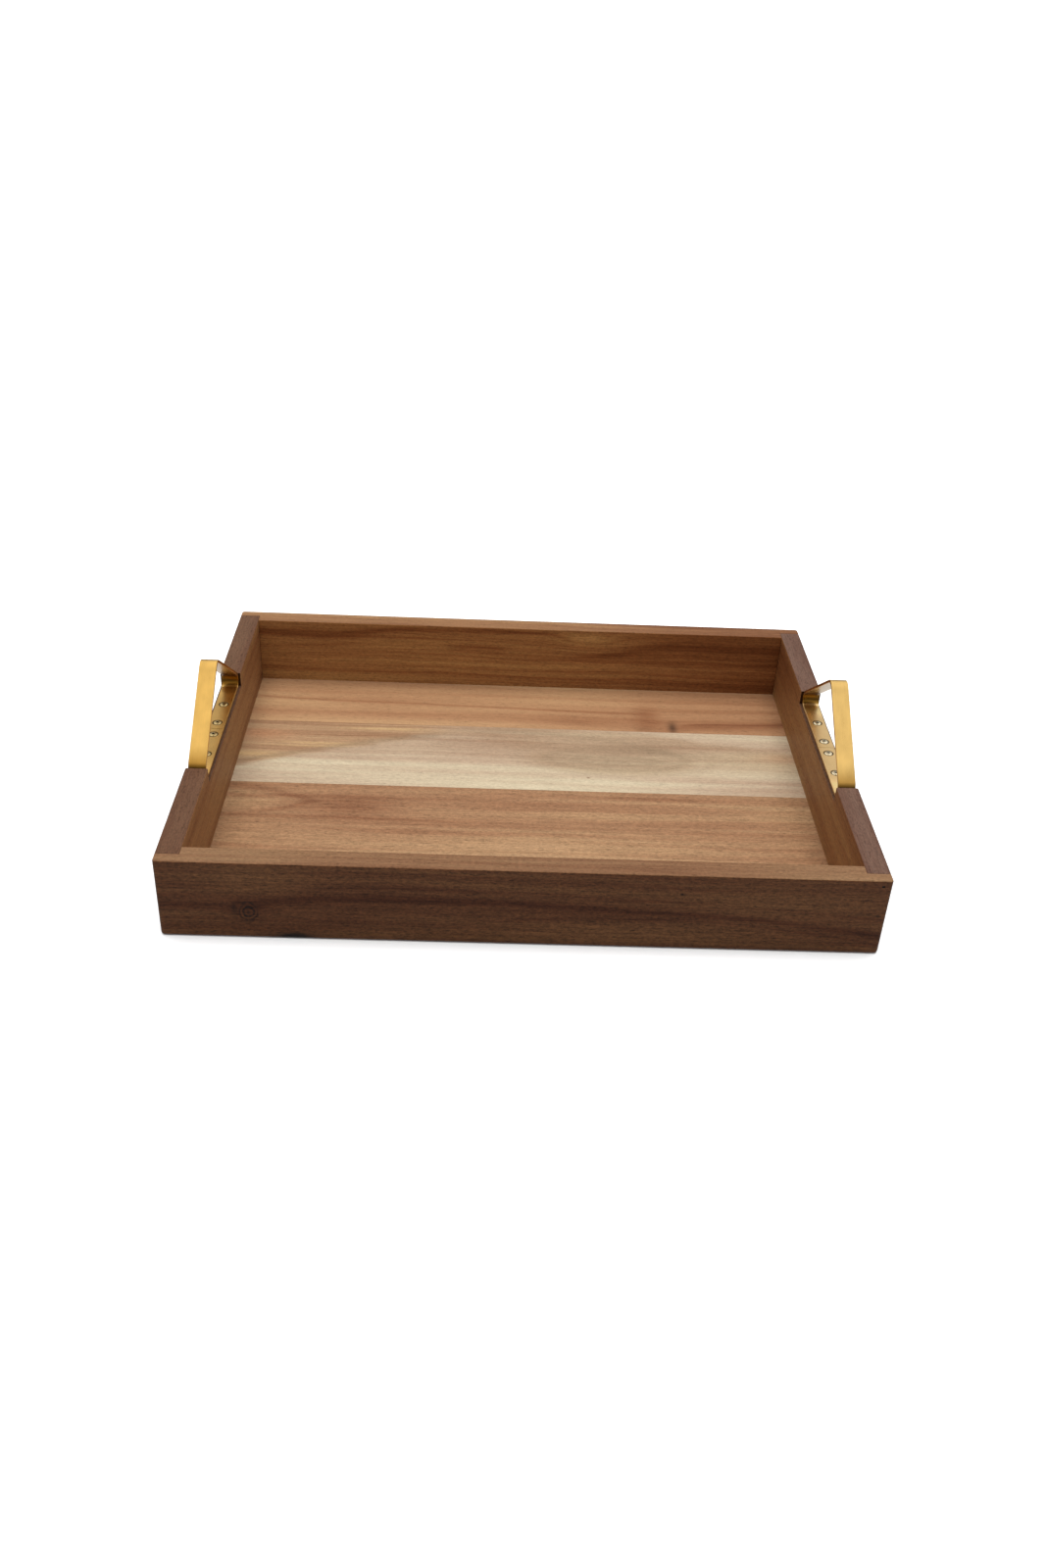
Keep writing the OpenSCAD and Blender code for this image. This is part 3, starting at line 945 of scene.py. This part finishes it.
def screw_metal(name, face):
    """Paler brass, its colour on each side partly painted reflection, with painted shade in the recess, at
    the middle of the head and round its edge.
    """
    shader = Shader(name)
    mottle = shader.noise(shader.place_mm(), (0.8, 0.8, 0.8), 2, 0.6)
    distance, height = from_screws(shader)
    share = shader.math("POWER", shader.times(distance, MM / HEAD_R), DOME_POWER)
    dome = shader.sum((NOTCH_Z + STRAP_T - HEAD_DROP + DOME_H) / MM, shader.times(share, -DOME_H / MM))
    depth = shader.math("SUBTRACT", dome, height)
    # painted shade at the middle of the head, round the recess
    centre = shader.fade(distance, 1.6, 1.2, 0.0, -0.3)
    base = shader.tint(face, shader.sum(1.0, shader.centred(mottle, 0.2), centre))
    # painted shade in the recess and round the edge of the head
    rim = shader.fade(distance, HEAD_R / MM - 0.25, HEAD_R / MM - 0.05)
    dark = shader.math("MAXIMUM", shader.fade(depth, 0.15, 0.45), shader.times(rim, 0.7))
    base = shader.mix(shader.times(dark, 0.82), base, GAP_SHADE)
    shader.set(Base_Color=base, Metallic=1.0, Roughness=shader.fade(mottle, 0.3, 0.7, 0.22, 0.34))
    return shader.material


def steel():
    shader = Shader("brad_steel")
    mottle = shader.noise(shader.place_mm(), (0.4, 0.4, 0.4), 3, 0.6)
    rough = shader.fade(mottle, 0.3, 0.7, 0.45, 0.7)
    dark, light = colour(0.03, 0.026, 0.024), colour(0.08, 0.07, 0.062)
    shader.set(Base_Color=shader.mix(mottle, dark, light), Metallic=1.0, Roughness=rough)
    return shader.material


# ---------- build ----------

finish_piece(long_board("front_board_fine", -1), front_board_wood(), "front_board")
finish_piece(long_board("back_board_fine", 1), back_board_wood(), "back_board")

END_BOARDS = (
    ("left_end", -1, 13, INSIDE_LEFT, RIM_LEFT),
    ("right_end", 1, 14, INSIDE_RIGHT, RIM_RIGHT),
)
for place, side, seed, inside, rim in END_BOARDS:
    wood = end_board_wood(place + "_wood", seed, side, inside, rim)
    finish_piece(end_board(place + "_board_fine", side), wood, place + "_board")

PLANKS = (
    ("floor_plank_back", back_plank_wood),
    ("floor_plank_middle_back", middle_back_plank_wood),
    ("floor_plank_middle_front", middle_front_plank_wood),
    ("floor_plank_front", front_plank_wood),
)
for node, make_wood in PLANKS:
    finish_piece(floor_plank(node + "_fine", node), make_wood(), node)

STRAP_METALS = {
    "left": strap_metal("left_strap_brass", STRAP_LEFT, STRAP_LEFT_INSIDE),
    "right": strap_metal("right_strap_brass", STRAP_RIGHT, STRAP_RIGHT_INSIDE),
}
SCREW_METALS = {
    "left": screw_metal("left_screw_brass", SCREW_LEFT),
    "right": screw_metal("right_screw_brass", SCREW_RIGHT),
}
brad_steel = steel()
for side_name, side in (("left", -1), ("right", 1)):
    strap = handle_strap(side_name + "_handle_strap_fine", side)
    finish_piece(strap, STRAP_METALS[side_name], side_name + "_handle_strap")
    for number in range(len(SCREW_YS)):
        node = f"{side_name}_handle_screw_{number + 1}"
        finish_piece(handle_screw(node + "_fine", side, number), SCREW_METALS[side_name], node)
    for row_name, row in (("front", -1), ("back", 1)):
        node = f"{row_name}_{side_name}_brads"
        finish_piece(corner_brads(node + "_fine", side, row), brad_steel, node)


# ---------- studio ----------

CAMERA_AT = Vector((-25.83, -749.99, 501.76)) * MM
CAMERA_AZIMUTH, CAMERA_ELEVATION, CAMERA_ROLL = -2.09, 33.295, 2.87
CAMERA_LENS = 31.4
FLOOR_ALBEDO = 0.84
SKY_LOW, SKY_HIGH = 0.2, 1.07
SKY_TOP = 0.75               # share of the way up from which the sky is at its brightest
FRONT_SHARE = 0.3            # of the sky's light on the camera's side
BELOW = 0.75                 # what brass and gloss see under the horizon, in place of the floor
SUN_AZIMUTH, SUN_ELEVATION, SUN_STRENGTH, SUN_SPREAD = 180, 87, 3.5, 40


def make_floor():
    def make(bm):
        bmesh.ops.create_grid(bm, x_segments=8, y_segments=8, size=20)

    floor = new_piece("studio_floor", make)
    shader = Shader("studio_floor")
    place = shader.add("TexCoord", {}, out=3)
    faint = shader.noise(place, (0.02, 0.02, 0.02), 2)
    plain, paler = (colour(*[FLOOR_ALBEDO * share] * 3) for share in (1.0, 1.01))
    shader.set(Base_Color=shader.mix(faint, plain, paler), Roughness=1.0, Specular_IOR_Level=0.0)
    floor.data.materials.append(shader.material)
    floor.visible_glossy = False


def make_sun(name, azimuth, elevation, strength, spread):
    lamp = bpy.data.lights.new(name, "SUN")
    lamp.energy = strength
    lamp.angle = math.radians(spread)
    sun = bpy.data.objects.new(name, lamp)
    a, e = math.radians(azimuth), math.radians(elevation)
    towards = Vector((math.sin(a) * math.cos(e), -math.cos(a) * math.cos(e), math.sin(e)))
    sun.rotation_mode = "QUATERNION"
    sun.rotation_quaternion = towards.to_track_quat("Z", "Y")
    sun.visible_glossy = False
    bpy.context.scene.collection.objects.link(sun)


def make_sky():
    """A soft studio dome: bright overhead, dim near the horizon, and dimmest on the camera's side."""
    world = bpy.data.worlds.new("studio")
    bpy.context.scene.world = world
    world.use_nodes = True
    tree = world.node_tree
    background = tree.nodes["Background"]
    place = tree.nodes.new("ShaderNodeTexCoord")
    split = tree.nodes.new("ShaderNodeSeparateXYZ")
    tree.links.new(place.outputs["Generated"], split.inputs[0])

    def fade(socket, start, end, low, high):
        node = tree.nodes.new("ShaderNodeMapRange")
        node.interpolation_type = "SMOOTHSTEP"
        for key, value in (("From Min", start), ("From Max", end), ("To Min", low), ("To Max", high)):
            node.inputs[key].default_value = value
        tree.links.new(socket, node.inputs["Value"])
        return node.outputs[0]

    above = fade(split.outputs[2], 0.0, SKY_TOP, SKY_LOW, SKY_HIGH)
    below = fade(split.outputs[2], 0.0, -0.2, 0.0, BELOW - SKY_LOW)
    total = tree.nodes.new("ShaderNodeMath")
    tree.links.new(above, total.inputs[0])
    tree.links.new(below, total.inputs[1])
    height = total.outputs[0]
    front = fade(split.outputs[1], -1.0, -0.15, FRONT_SHARE, 1.0)
    product = tree.nodes.new("ShaderNodeMath")
    product.operation = "MULTIPLY"
    tree.links.new(height, product.inputs[0])
    tree.links.new(front, product.inputs[1])
    tree.links.new(product.outputs[0], background.inputs["Strength"])
    background.inputs["Color"].default_value = (1, 1, 1, 1)


def make_camera():
    a, e, roll = (math.radians(x) for x in (CAMERA_AZIMUTH, CAMERA_ELEVATION, CAMERA_ROLL))
    back = Vector((math.sin(a) * math.cos(e), -math.cos(a) * math.cos(e), math.sin(e)))
    level = (-back).cross(Vector((0, 0, 1))).normalized()
    up = level.cross(-back)
    x_axis = math.cos(roll) * level + math.sin(roll) * up
    y_axis = math.cos(roll) * up - math.sin(roll) * level
    lens = bpy.data.cameras.new("camera")
    lens.lens = CAMERA_LENS
    lens.clip_start = 0.01
    lens.clip_end = 100
    camera = bpy.data.objects.new("camera", lens)
    turn = Matrix((x_axis, y_axis, back)).transposed()
    camera.matrix_world = Matrix.Translation(CAMERA_AT) @ turn.to_4x4()
    bpy.context.scene.collection.objects.link(camera)
    bpy.context.scene.camera = camera


make_floor()
make_sky()
make_sun("overhead_light", SUN_AZIMUTH, SUN_ELEVATION, SUN_STRENGTH, SUN_SPREAD)
make_camera()
bpy.context.scene.view_settings.view_transform = "Standard"
bpy.context.scene.view_settings.look = "None"

bpy.context.view_layer.update()
